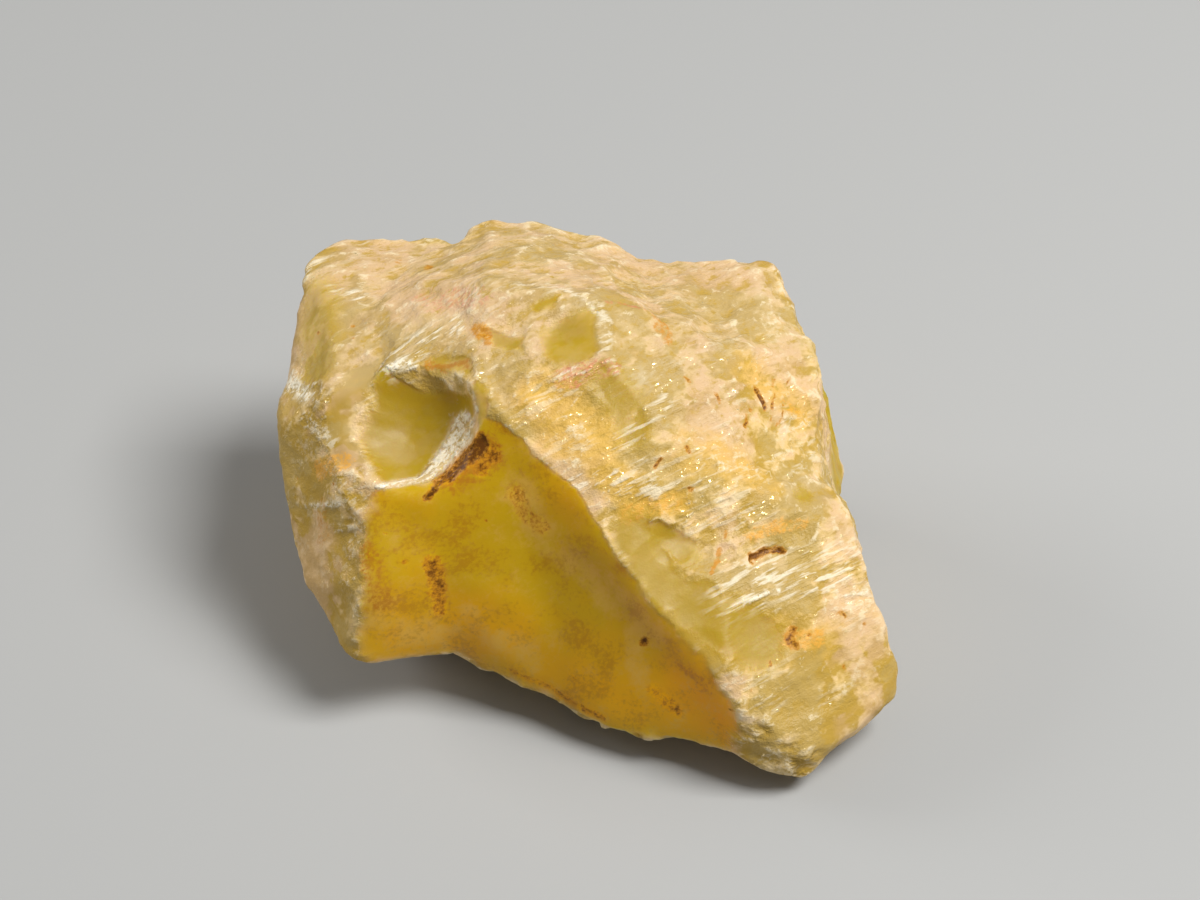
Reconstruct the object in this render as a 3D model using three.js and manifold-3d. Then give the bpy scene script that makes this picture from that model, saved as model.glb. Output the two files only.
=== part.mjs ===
// Raw danburite: one broken, waxy yellow crystal lump lying on its own flat underside.
// Millimetres, +Z up. The long axis of the lump lies along X, its blunt tip points to +X and -Y.
import * as THREE from 'three';
import { mergeVertices } from 'three/addons/utils/BufferGeometryUtils.js';
import Module from 'manifold-3d';

const stoneSize = 1;         // scale of the whole lump: 1 is 26 mm long
const restingHeight = 0;     // height of the flat underside
const bowlFacet = 0.8;       // edge length of the small facets inside the shell-shaped bowls

// Corners of the broken facets, chosen by hand as [x, y, z].
const corners = {
  // far rim of the rough plateau, left to right
  rimCorner: [-12.3, 9.2, 12.0],
  rim1: [-10.8, 11.2, 11.9],
  rim2: [-6.5, 11.2, 11.9],
  rimNotch: [-5.7, 10.3, 12.2],
  rim3: [-4.5, 12.0, 12.1],
  rim4: [-1.9, 12.0, 12.0],
  rim5: [0.5, 11.2, 11.9],
  rim6: [2.2, 10.1, 11.5],
  rim7: [4.8, 10.1, 11.4],
  rim8: [7.9, 9.5, 11.6],
  rim9: [8.4, 8.6, 11.3],
  rim10: [8.9, 6.3, 10.9],

  // crest where the plateau breaks off towards the front
  crest1: [-10.9, 6.2, 12.4],
  crest2: [-9.3, 5.0, 12.5],
  crest3: [-7.8, 3.8, 12.7],
  crest4: [-4.8, 3.2, 13.5],
  shelf: [-7.3, 6.3, 13.1],
  crest5: [-4.1, 4.8, 14.5],
  crest6: [-1.8, 4.1, 14.5],
  crest7: [0.7, 3.8, 14.2],
  crest8: [3.0, 3.5, 13.1],
  crest9: [6.3, 3.2, 12.0],
  crest10: [9.4, 5.1, 10.8],

  // foot of the glassy step under the crest
  step1: [-4.1, 1.6, 13.4],
  step2: [-1.7, 0.9, 13.5],
  step3: [0.7, 0.9, 13.4],

  // long ridge between the rough right facet and the smooth front facet
  ridge1: [-4.4, 0.0, 13.0],
  ridge2: [-3.1, -1.3, 12.0],
  ridge3: [-0.5, -3.6, 10.5],
  ridge4: [1.0, -5.5, 8.8],
  ridge5: [2.7, -7.2, 7.2],
  ridge6: [4.5, -8.6, 5.7],
  ridge7: [5.9, -9.8, 4.4],

  // rough right facet: its low undulations and its right edge
  scale1: [2.1, -0.3, 12.4],
  scale2: [4.5, -2.5, 10.6],
  scale3: [2.8, -4.7, 9.0],
  scale4: [6.4, -2.6, 9.6],
  edge1: [9.8, 4.1, 10.3],
  edge2: [9.6, 1.8, 9.0],
  edge3: [9.7, -0.2, 8.2],
  edge4: [10.5, -1.8, 8.0],
  edge5: [11.2, -3.3, 7.0],
  edge6: [11.7, -4.5, 5.8],
  edge7: [12.3, -5.7, 4.4],
  edge8: [12.8, -6.3, 3.0],
  edge9: [12.7, -7.1, 2.1],

  // silky band across the right facet, upper and lower border
  silk1: [4.6, -6.0, 7.9],
  silk2: [8.5, -4.4, 7.5],
  silk3: [5.9, -7.6, 6.5],
  silk4: [8.6, -6.4, 6.4],

  // blunt tip and its lower bevel
  tip1: [7.7, -9.0, 4.4],
  bevel1: [12.3, -7.4, 2.7],
  bevel2: [10.9, -8.8, 2.3],
  bevel3: [8.9, -10.4, 2.1],

  // lower edge of the front, right to left
  hem1: [11.3, -8.3, 1.5],
  hem2: [9.8, -9.4, 1.1],
  hem3: [8.6, -10.2, 0.9],
  hem4: [7.1, -10.5, 1.5],
  hem5: [5.9, -10.0, 1.9],
  hem6: [4.5, -9.4, 1.8],
  hem7: [2.1, -9.0, 1.5],
  hem8: [0.5, -8.4, 1.4],
  hem9: [-1.1, -7.2, 2.0],
  hem10: [-2.8, -6.5, 2.2],
  hem11: [-4.2, -5.8, 2.6],
  hem12: [-5.5, -5.4, 3.2],
  hem13: [-7.7, -6.0, 3.3],
  hem14: [-9.0, -6.6, 3.4],

  // smooth front facet: its soft crease and two swells
  fold1: [-2.9, -3.2, 9.3],
  fold2: [-1.1, -4.3, 8.2],
  fold3: [1.3, -6.1, 6.6],
  fold4: [2.7, -7.2, 5.7],
  fold5: [4.1, -8.6, 4.2],
  fold6: [5.3, -9.3, 2.6],
  swell1: [-6.3, -4.2, 7.4],
  swell2: [-5.9, -5.1, 5.3],
  swell3: [-1.1, -6.0, 4.6],

  // lip around the shell-shaped pocket, and its floor
  lip1: [-8.6, -2.4, 9.6],
  lip2: [-6.3, -2.5, 10.2],
  lip3: [-5.3, -1.8, 11.0],
  lip4: [-4.7, -0.8, 12.1],
  lip5: [-6.0, 0.9, 12.5],
  lip6: [-8.3, 1.4, 12.3],
  lip7: [-9.2, 0.7, 11.5],
  lip8: [-9.2, -0.7, 10.6],
  pocketFloor: [-7.2, 0.4, 10.9],

  // shoulder between the front and the left side
  shoulder1: [-10.6, 1.2, 11.4],
  shoulder2: [-10.5, -0.4, 10.3],
  shoulder3: [-9.8, -2.6, 9.0],
  shoulder4: [-8.9, -3.8, 8.5],
  shoulder5: [-8.9, -5.5, 6.8],

  // left side, from the plateau down to the front
  side1: [-12.3, 7.6, 11.7],
  side2: [-12.4, 5.7, 11.1],
  side3: [-12.6, 3.4, 10.0],
  side4: [-13.0, 1.5, 9.4],
  side5: [-12.8, 0.0, 7.7],
  side6: [-12.4, -1.7, 5.9],
  side7: [-11.7, -3.3, 4.9],
  side8: [-10.6, -4.6, 4.1],
  side9: [-10.1, -5.8, 3.6],
  side10: [-12.3, 4.6, 5.4],
  side11: [-10.9, 0.3, 2.6],

  // far wall and far right flank
  flank1: [10.4, 6.5, 6.8],
  flank2: [10.9, 4.8, 4.8],
  flank3: [11.1, 3.0, 3.2],
  flank4: [11.6, -1.4, 2.4],
  flank5: [11.9, -4.2, 1.6],
  wall1: [8.9, 8.7, 5.2],
  wall2: [5.3, 11.1, 6.4],
  wall3: [-1.0, 12.2, 6.0],
  wall4: [-7.2, 11.8, 6.9],
  wall5: [-11.3, 9.4, 6.2],

  // flat underside
  base1: [7.0, -6.8, restingHeight],
  base2: [10.4, -3.8, restingHeight],
  base3: [9.2, 4.0, restingHeight],
  base4: [5.5, 8.6, restingHeight],
  base5: [-2.0, 9.8, restingHeight],
  base6: [-8.0, 8.0, restingHeight],
  base7: [-9.3, 2.0, restingHeight],
  base8: [-6.5, -1.2, restingHeight],
  base9: [-1.2, -4.1, restingHeight],
  base10: [3.2, -6.0, restingHeight],
};

// Facets as runs of corners. A run of more than three is fanned from its first corner.
const facets = {
  plateau: [
    'rimCorner side1 crest1 rim1',
    'rim1 crest1 crest2 rim2',
    'shelf rim2 crest2 crest3',
    'shelf crest3 crest4 crest5',
    'shelf rimNotch rim2',
    'shelf crest5 rim3 rimNotch',
    'rim4 rim3 crest5 crest6',
    'rim4 crest6 crest7 rim5',
    'rim6 rim5 crest7 crest8',
    'rim6 crest8 rim7',
    'crest9 rim8 rim7 crest8',
    'crest9 crest10 rim10 rim9 rim8',
  ],
  glassyStep: [
    'crest4 step1 crest5',
    'crest5 step1 step2 crest6',
    'crest6 step2 step3 crest7',
    'crest7 step3 crest8',
  ],
  scalyFacet: [
    'step1 crest4 ridge1',
    'step1 ridge1 ridge2 step2',
    'step2 ridge2 scale1 step3',
    'step3 scale1 crest8',
    'ridge2 ridge3 scale1',
    'ridge3 scale2 scale1',
    'scale1 scale2 crest9 crest8',
    'crest9 scale2 scale4 edge2',
    'crest9 edge2 edge1 crest10',
    'scale3 scale2 ridge3 ridge4',
    'scale2 scale3 scale4',
    'scale4 edge4 edge3 edge2',
  ],
  silkyBand: [
    'scale3 ridge4 ridge5 silk1',
    'scale3 silk1 silk2 scale4',
    'scale4 silk2 edge5 edge4',
    'silk1 ridge5 ridge6 silk3',
    'silk1 silk3 silk4 silk2',
    'silk2 silk4 edge6 edge5',
  ],
  tip: [
    'silk3 ridge6 ridge7 tip1',
    'silk3 tip1 silk4',
    'silk4 tip1 bevel2 edge7',
    'silk4 edge7 edge6',
    'edge7 bevel2 bevel1 edge8',
    'bevel3 bevel2 tip1 ridge7',
    'bevel1 edge9 edge8',
    'bevel2 hem1 edge9 bevel1',
    'bevel2 bevel3 hem2 hem1',
    'bevel3 hem3 hem2',
    'bevel3 hem4 hem3',
    'bevel3 ridge7 hem5 hem4',
  ],
  frontFacet: [
    'lip4 lip3 fold1 ridge2',
    'ridge1 lip4 ridge2',
    'ridge3 ridge2 fold1 fold2',
    'ridge3 fold2 ridge4',
    'ridge4 fold2 fold3 ridge5',
    'ridge5 fold3 fold4',
    'ridge5 fold4 fold5 ridge6',
    'ridge6 fold5 fold6 ridge7',
    'ridge7 fold6 hem5',
    'swell1 lip2 lip1 shoulder4',
    'swell1 fold1 lip3 lip2',
    'shoulder4 shoulder5 swell1',
    'swell2 shoulder5 hem14 hem13',
    'swell2 swell1 shoulder5',
    'swell2 hem13 hem12',
    'swell2 hem12 hem11 hem10',
    'swell3 fold2 fold1 swell1',
    'swell1 swell2 swell3',
    'swell3 swell2 hem10 hem9',
    'swell3 hem9 hem8 fold4',
    'swell3 fold4 fold3 fold2',
    'fold5 fold4 hem8 hem7',
    'fold5 hem7 hem6 fold6',
    'fold6 hem6 hem5',
  ],
  pocket: [
    'pocketFloor lip1 lip2',
    'pocketFloor lip2 lip3',
    'pocketFloor lip3 lip4',
    'pocketFloor lip4 lip5',
    'pocketFloor lip5 lip6',
    'pocketFloor lip6 lip7',
    'pocketFloor lip7 lip8',
    'pocketFloor lip8 lip1',
  ],
  abovePocket: [
    'crest4 crest3 lip6 lip5',
    'crest4 lip5 ridge1',
    'lip5 lip4 ridge1',
    'crest2 crest1 shoulder1 lip7',
    'crest3 crest2 lip7 lip6',
  ],
  leftSide: [
    'lip7 shoulder1 shoulder2 lip8',
    'lip8 shoulder2 shoulder3 lip1',
    'lip1 shoulder3 shoulder4',
    'crest1 side1 side2 shoulder1',
    'side2 side3 shoulder1',
    'shoulder1 side3 side4 shoulder2',
    'shoulder2 side4 side5 shoulder3',
    'shoulder3 side5 side6 shoulder4',
    'shoulder4 side6 side7 shoulder5',
    'shoulder5 side7 side8 side9',
    'shoulder5 side9 hem14',
    'side10 side2 side1 wall5',
    'side1 rimCorner wall5',
    'side10 side3 side2',
    'side10 side4 side3',
    'side10 side5 side4',
    'side10 side11 side6 side5',
    'side11 side7 side6',
    'side11 side8 side7',
  ],
  farWall: [
    'rimCorner rim1 wall5',
    'wall4 wall5 rim1 rim2',
    'wall4 rim2 rimNotch',
    'wall4 rimNotch rim3',
    'wall3 wall4 rim3 rim4',
    'wall3 rim4 rim5 wall2',
    'wall2 rim5 rim6',
    'wall2 rim6 rim7',
    'wall2 rim7 rim8 wall1',
    'wall1 rim8 rim9 flank1',
    'flank1 rim9 rim10',
    'flank1 rim10 crest10',
  ],
  farFlank: [
    'flank1 crest10 edge1',
    'flank1 edge1 edge2',
    'flank1 edge2 flank2',
    'flank2 edge2 edge3',
    'flank2 edge3 flank3',
    'flank3 edge3 edge4',
    'flank3 edge4 edge5 flank4',
    'flank4 edge5 edge6',
    'flank4 edge6 edge7 flank5',
    'flank5 edge7 edge8',
    'flank5 edge8 edge9',
  ],
  undercut: [
    'base1 hem2 hem3 hem4 hem5 base10',
    'base10 hem5 hem6 hem7 hem8 base9',
    'base9 hem8 hem9 hem10 hem11 base8',
    'base8 hem11 hem12 hem13 hem14 base7',
    'base7 hem14 side9 side8 side11',
    'base7 side11 side10 base6',
    'base6 side10 wall5 wall4 base5',
    'base5 wall4 wall3 base4',
    'base4 wall3 wall2 wall1 base3',
    'base3 wall1 flank2 flank3 flank4 base2',
    'wall1 flank1 flank2',
    'base2 flank4 flank5 edge9 hem1 base1',
    'base1 hem1 hem2',
  ],
  underside: ['base10 base9 base8 base7 base6 base5 base4 base3 base2 base1'],
};

// Shell-shaped breaks. Each is a shallow bowl: the middle of its mouth, the way it faces,
// the radius of its mouth and its depth.
const bowls = [
  { name: 'pocket', at: [-7.0, -0.45, 11.3], faces: [-0.25, -0.62, 0.74], mouth: 2.6, depth: 1.2 },
  { name: 'glassyWindow', at: [-1.1, 2.3, 14.1], faces: [0.05, -0.3, 0.95], mouth: 1.5, depth: 0.4 },
  { name: 'glassyLens', at: [-3.2, 2.6, 14.0], faces: [-0.1, -0.5, 0.86], mouth: 1.1, depth: 0.25 },
  { name: 'tipDish', at: [7.0, -7.4, 6.1], faces: [0.3, -0.6, 0.74], mouth: 1.8, depth: 0.15 },
  { name: 'edgeChip', at: [9.5, 1.0, 8.9], faces: [0.5, -0.3, 0.8], mouth: 0.9, depth: 0.2 },
  { name: 'farShellLeft', at: [-7.2, 11.3, 8.6], faces: [-0.1, 0.97, 0.1], mouth: 3.0, depth: 0.5 },
  { name: 'farShellRight', at: [3.0, 11.0, 5.0], faces: [0.25, 0.92, -0.25], mouth: 3.6, depth: 0.6 },
  { name: 'flankShell', at: [11.0, 2.2, 4.6], faces: [0.95, 0.0, -0.2], mouth: 1.9, depth: 0.3 },
];

// A point well inside the lump that sees every facet.
const heart = new THREE.Vector3(0, 1.2, 6.6);

const wasm = await Module();
wasm.setup();

function solidFrom(geometry) {
  const bare = geometry.index ? geometry.toNonIndexed() : geometry.clone();
  bare.deleteAttribute('normal');
  bare.deleteAttribute('uv');
  const merged = mergeVertices(bare, 1e-5);
  const vertProperties = Float32Array.from(merged.getAttribute('position').array);
  const triVerts = Uint32Array.from(merged.index.array);
  return new wasm.Manifold(new wasm.Mesh({ numProp: 3, vertProperties, triVerts }));
}

function geometryFrom(solid) {
  const { vertProperties, triVerts } = solid.getMesh();
  const geometry = new THREE.BufferGeometry();
  geometry.setAttribute('position', new THREE.BufferAttribute(Float32Array.from(vertProperties), 3));
  geometry.setIndex(new THREE.BufferAttribute(Uint32Array.from(triVerts), 1));
  return geometry;
}

// Every facet run becomes a fan of triangles, each turned to face away from the heart.
function facetedLump() {
  const points = [];
  const addTriangle = (a, b, c) => {
    const normal = new THREE.Triangle(a, b, c).getNormal(new THREE.Vector3());
    const facesOut = normal.dot(a.clone().sub(heart)) > 0;
    points.push(a, facesOut ? b : c, facesOut ? c : b);
  };
  for (const run of Object.values(facets).flat()) {
    const ring = run.split(' ').map((name) => new THREE.Vector3(...corners[name]));
    for (let k = 1; k + 1 < ring.length; k += 1) addTriangle(ring[0], ring[k], ring[k + 1]);
  }
  return new THREE.BufferGeometry().setFromPoints(points);
}

// A bowl is the low cap of a ball whose middle lies outside the stone.
function bowlTool({ at, faces, mouth, depth }) {
  const radius = (mouth ** 2 + depth ** 2) / (2 * depth);
  const detail = Math.ceil(radius / bowlFacet);
  const outward = new THREE.Vector3(...faces).normalize();
  const ball = new THREE.IcosahedronGeometry(radius, detail);
  ball.translate(...outward.multiplyScalar(radius - depth).add(new THREE.Vector3(...at)));
  return solidFrom(ball);
}

let lump = solidFrom(facetedLump());
for (const bowl of bowls) lump = lump.subtract(bowlTool(bowl));

// The origin is under the middle of the lump, on the surface it lies on.
const stoneGeometry = geometryFrom(lump);
stoneGeometry.computeBoundingBox();
const middle = stoneGeometry.boundingBox.getCenter(new THREE.Vector3());
stoneGeometry.translate(-middle.x, -middle.y, -restingHeight);
stoneGeometry.scale(stoneSize, stoneSize, stoneSize);

const waxyYellow = new THREE.MeshStandardMaterial({ color: 0xd9b548, roughness: 0.45, metalness: 0 });
waxyYellow.flatShading = true;
const danburite = new THREE.Mesh(stoneGeometry, waxyYellow);
danburite.name = 'danburite';

const stone = new THREE.Group();
stone.add(danburite);

export default stone;
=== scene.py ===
import math

import bpy
import numpy as np
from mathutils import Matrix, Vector


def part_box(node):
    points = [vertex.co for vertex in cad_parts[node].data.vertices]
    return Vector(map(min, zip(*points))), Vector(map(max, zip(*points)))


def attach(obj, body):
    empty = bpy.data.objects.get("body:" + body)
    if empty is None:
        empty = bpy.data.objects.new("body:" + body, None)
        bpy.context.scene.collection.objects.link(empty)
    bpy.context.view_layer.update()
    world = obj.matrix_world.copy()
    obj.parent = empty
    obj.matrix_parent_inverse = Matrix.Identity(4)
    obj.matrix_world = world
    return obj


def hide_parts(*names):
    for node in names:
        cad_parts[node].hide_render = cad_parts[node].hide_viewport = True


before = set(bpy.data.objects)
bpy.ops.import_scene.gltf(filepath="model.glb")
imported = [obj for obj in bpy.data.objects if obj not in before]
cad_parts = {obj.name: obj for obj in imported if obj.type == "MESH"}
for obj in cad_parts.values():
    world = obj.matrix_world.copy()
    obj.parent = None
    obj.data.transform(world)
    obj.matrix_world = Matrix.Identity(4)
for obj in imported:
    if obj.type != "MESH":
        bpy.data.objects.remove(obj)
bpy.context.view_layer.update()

mm = 0.001

# the lump of danburite: lengths in millimetres
stoneShape = {
    "gridCells": 128,               # cells along each edge of the cube of directions
    "heartHeight": 0.45,            # height of the middle that every place is seen from, as a share
    "crowding": (0.0, -0.22, 0.2),  # pulls more cells to the front and the top
    "edgeRounds": 1,                # rounds of averaging that take the knife edge off the facets
    "calmRounds": 3,                # more rounds on the calm and glassy places
    "steepRounds": 14,              # more where the surface runs nearly straight out from the middle
    "steepFacing": (0.25, 0.55),    # how far it faces outwards there, fully and not at all
    "frontRounds": 40,              # rounds that melt the facets of the smooth front into one sweep
    "frontEdge": (-0.3, 0.45),      # where the front starts inside its outline, and how it fades in
    "pocketEdge": (-0.1, 0.4),      # the same for the pocket
    "lipHighlightEdge": (-0.05, 0.3),        # the same for the painted highlight on the inner side of its lip
    "wander": (0.7, 0.13),          # wave length and reach of the wandering edges of all marks
    "swell": (4.2, 0.12),           # wave length and height of the broad unevenness
    "faces": (2.4, 0.16),           # width and height of the broad broken faces
    "scales": (1.0, 0.17),          # width and height of the scales on them
    "flecks": (0.4, 0.08),          # width and height of the small scales drawn out along the grain
    "grit": (0.3, 0.02),            # wave length and height of the grit
    "threads": (0.36, 0.05),        # width and height of the silky threads
    "nicks": (0.9, 0.25),           # length and depth of the nicks along the edges
    "edgeStands": (0.015, 0.07),    # how far an edge stands out, where it starts to count and in full
    "rustDepth": 0.10,              # how deep the darkest rust has eaten in
    "reliefSpan": 0.10,             # height from hollow to ridge that counts as the full span
    "quietHeight": 0.25,            # below this height the relief fades away to the flat underside
    "topFacing": (0.75, 0.95),      # how far upwards the top faces, where it starts to count and in full
    "drift": 3.0,                   # size of the clouds of colour
    "veil": 0.9,                    # width of the veils drawn out along the grain
    "grainTurn": 30,                # degrees the grain turns from the right towards the back
    "grainRise": 6,                 # degrees the grain rises
    "grainStretch": 3.0,            # how much longer than wide the flecks and veils are
    "threadStretch": 5.0,           # the same again for the threads
    "bends": (1.1, 0.05),           # wave length and reach of the slow bends in the grain
    "boardLean": 42,                # degrees that the board some outlines are drawn on leans back
    "seed": 11,
}


def cubeGrid(cells):
    # A cube's six sides, each a lattice of cells x cells squares. Lattice points on shared
    # edges have the same three whole numbers, so they are merged. Gives points in -1..1 and quads.
    a, b = np.meshgrid(np.arange(cells + 1), np.arange(cells + 1), indexing="ij")
    sides = []
    for axis in range(3):
        for end in (0, cells):
            side = np.empty((cells + 1, cells + 1, 3), int)
            side[..., axis] = end
            side[..., (axis + 1) % 3] = a if end else b
            side[..., (axis + 2) % 3] = b if end else a
            sides.append(side)
    lattice = np.array(sides)
    corner = np.arange(lattice[..., 0].size).reshape(lattice.shape[:3])
    before, after = slice(None, -1), slice(1, None)
    loop = ((before, before), (after, before), (after, after), (before, after))
    quads = np.stack([corner[:, i, j] for i, j in loop], -1)
    points, same = np.unique(lattice.reshape(-1, 3), axis=0, return_inverse=True)
    return points / cells * 2 - 1, same.ravel()[quads.reshape(-1, 4)]


def unit(vectors):
    # each vector over its length
    return vectors / np.linalg.norm(vectors, axis=-1, keepdims=True)


def cadFacets(node):
    # the node's triangles, three corner places each, in mm
    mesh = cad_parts[node].data
    mesh.calc_loop_triangles()
    places = np.empty(len(mesh.vertices) * 3)
    mesh.vertices.foreach_get("co", places)
    corners = np.empty(len(mesh.loop_triangles) * 3, int)
    mesh.loop_triangles.foreach_get("vertices", corners)
    return places.reshape(-1, 3)[corners].reshape(-1, 3, 3) / mm


def castOut(directions, facets, heart):
    # A direction from the heart meets a facet if it is a sum of the ways to the three corners with
    # no share below zero. One over the sum of the shares is how far out the two meet, and the
    # outermost meeting counts.
    solve = np.linalg.inv((facets - heart).transpose(0, 2, 1))
    reach = np.empty(len(directions))
    for part in np.array_split(np.arange(len(directions)), len(directions) // 3000 + 1):
        shares = solve @ directions[part].T
        inside = shares.min(1) > -1e-6
        out = np.where(inside, 1 / np.where(inside, shares.sum(1), 1), 0)
        reach[part] = out.max(0)
    return reach


def neighbours(quads):
    # pairs of points, both ways along every quad edge
    ahead = np.stack([quads, np.roll(quads, -1, axis=1)], -1).reshape(-1, 2)
    return np.concatenate([ahead, ahead[:, ::-1]])


def spread(values, links, rounds, share=1.0):
    # each point moves by share towards the mean of its neighbours, rounds times
    count = np.bincount(links[:, 0], minlength=len(values))
    share = np.broadcast_to(share, len(values))[:, None]
    held = values.reshape(len(values), -1)
    for _ in range(rounds):
        sums = [np.bincount(links[:, 0], column[links[:, 1]], len(values)) for column in held.T]
        mean = np.stack(sums, 1) / count[:, None]
        held = held + share * (mean - held)
    return held.reshape(values.shape)


def pointNormals(points, quads):
    # the cross product of each quad's diagonals, summed over the quads round a point
    a, b, c, d = (points[quads[:, k]] for k in range(4))
    face = np.cross(c - a, d - b)
    sums = [np.bincount(quads.ravel(), np.repeat(column, 4), len(points)) for column in face.T]
    return unit(np.stack(sums, 1))


def chance(cells, seed):
    # one number from 0 to 1 for each whole-numbered cell, always the same for the same seed
    mixed = cells.astype(np.int64) @ np.array([73856093, 19349663, 83492791]) + seed * 2654435761
    mixed = (mixed ^ (mixed >> 13)) * 1274126177 & 0xFFFFFFFF
    mixed = (mixed ^ (mixed >> 16)) * 2246822519 & 0xFFFFFFFF
    return (mixed ^ (mixed >> 15)) / 0xFFFFFFFF


def cloud(points, size, seed):
    # values at the corners of cells of that size, blended smoothly between them, from -1 to 1
    place = points / size + 57.3
    cell = np.floor(place)
    part = place - cell
    part = part * part * part * (part * (part * 6 - 15) + 10)
    total = 0
    for corner in np.ndindex(2, 2, 2):
        weight = np.where(corner, part, 1 - part).prod(1)
        total = total + weight * chance(cell + corner, seed)
    return total * 2 - 1


def clouds(points, size, octaves, seed):
    # clouds of halving size and height, added up
    return sum(cloud(points, size / 2**k, seed + k) / 2**k for k in range(octaves))


def flakes(points, size, seed):
    # Space is shared out to jittered seeds, one a cell. Round each seed lies a tilted bowl that
    # rises with the square of the distance. The lowest bowl counts, so bowls meet in sharp ridges.
    # Gives the height and one number from 0 to 1 for each bowl.
    place = points / size + 31.7
    cell = np.floor(place)
    height = np.full(len(points), 9.0)
    tone = np.zeros(len(points))
    for step in np.ndindex(3, 3, 3):
        home = cell + np.array(step) - 1
        jitter = np.stack([chance(home, seed + k) for k in range(3)], 1)
        lean = np.stack([chance(home, seed + 3 + k) for k in range(3)], 1) * 2 - 1
        offset = place - home - jitter
        bowl = (offset * lean).sum(1) + (offset**2).sum(1) - chance(home, seed + 6) * 0.4
        tone = np.where(bowl < height, chance(home, seed + 7), tone)
        height = np.minimum(height, bowl)
    return height + 0.25, tone


def between(values, low, high):
    # 0 at low, 1 at high and a smooth step from one to the other
    part = np.clip((values - low) / (high - low), 0, 1)
    return part * part * (3 - 2 * part)


def awayFrom(points, start, end):
    # distance from the nearest place on the straight stroke from start to end
    along = end - start
    share = np.clip((points - start) @ along / max(along @ along, 1e-9), 0, 1)
    return np.linalg.norm(points - start - share[:, None] * along, axis=1)


def onSurface(places, facets, heart):
    # Where the ways out from the heart meet the stone. Longitude 0 faces the front and 90 the
    # right, and latitude 90 is up, both in degrees.
    longitude, latitude = np.radians(np.array(places, float)).T
    level = np.cos(latitude)
    ways = np.stack([np.sin(longitude) * level, -np.cos(longitude) * level, np.sin(latitude)], 1)
    return heart + ways * castOut(ways, facets, heart)[:, None]


def painted(points, strokes, facets, heart):
    # Each stroke runs from place to place on the surface. It is full on its middle line and fades
    # away past its half width, in mm, and where strokes cross the stronger one counts.
    mask = np.zeros(len(points))
    for halfWidth, strength, places in strokes:
        stops = onSurface(places, facets, heart)
        for start, end in zip(stops, stops[1:] if len(stops) > 1 else stops):
            touch = 1 - between(awayFrom(points, start, end), halfWidth * 0.4, halfWidth * 1.3)
            mask = np.maximum(mask, touch * strength)
    return mask


def inwards(spots, corners):
    # How far flat spots lie inside an outline, below zero outside it. Inside are the spots whose
    # line upwards crosses the outline an odd number of times.
    across, up = spots.T
    crossings = np.zeros(len(spots), int)
    nearest = np.full(len(spots), np.inf)
    for start, end in zip(corners, np.roll(corners, -1, axis=0)):
        if start[0] != end[0]:
            slope = (end[1] - start[1]) / (end[0] - start[0])
            underSide = (across < start[0]) != (across < end[0])
            crossings += underSide & (start[1] + (across - start[0]) * slope > up)
        nearest = np.minimum(nearest, awayFrom(spots, start, end))
    return np.where(crossings % 2, nearest, -nearest)


def filled(points, outline, start, fade, facets, heart):
    # The outline is seen from the heart, on a flat screen square to its middle. The mask is 0 at
    # the start and 1 one fade further in, both in mm inwards from the outline.
    stops = onSurface(outline, facets, heart) - heart
    middle = unit(unit(stops).mean(0))
    sideways = unit(np.cross(middle, (0.3, 0.5, 0.8)))
    screen = np.stack([sideways, np.cross(middle, sideways), middle], 1)
    seen, corners = (points - heart) @ screen, stops @ screen
    reach = corners[:, 2].mean()
    flat = seen[:, :2] / np.maximum(seen[:, 2:], 0.1) * reach
    inside = inwards(flat, corners[:, :2] / corners[:, 2:] * reach)
    return between(inside, start, start + fade) * (seen[:, 2] > 0)


def filledOnBoard(points, outline, start, fade, heart):
    # The same with the outline in mm to the right and up a board that leans back behind the stone.
    # It marks the side of the stone that faces away from the board.
    lean = math.radians(stoneShape["boardLean"])
    sine, cosine = math.sin(lean), math.cos(lean)
    board = np.array([[1, 0, 0], [0, sine, -cosine], [0, cosine, sine]])
    seen = points @ board
    inside = inwards(seen[:, :2], np.array(outline))
    return between(inside, start, start + fade) * (seen[:, 2] > (heart @ board)[2])


# the smooth front, as longitudes and latitudes
frontOutline = [
    (-66, 51), (-54, 55), (-28, 50), (-5, 42), (4, 31), (10, 19), (16, 10), (19, 5), (26, -4),
    (29, -10), (29, -20), (24, -23), (13, -26), (4, -29), (-7, -29), (-20, -29), (-32, -27),
    (-41, -22), (-48, -17), (-51, -15), (-55, 1), (-63, 11), (-68, 18), (-61, 27), (-62, 36),
]
# glassy windows under the crest: fade in mm, strength, outline as longitudes and latitudes
clearWindows = [
    (0.5, 0.9, [(-130, 73), (-157, 73), (-180, 72), (167, 70), (165, 75), (152, 81), (122, 87),
                (-62, 87), (-84, 80), (-97, 76), (-115, 74)]),
    (0.25, 0.8, [(-113, 57), (-117, 70), (-104, 70), (-103, 61)]),
    (0.2, 0.8, [(-137, 66), (-155, 67), (-166, 67), (-153, 70), (-138, 69)]),
]
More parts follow.
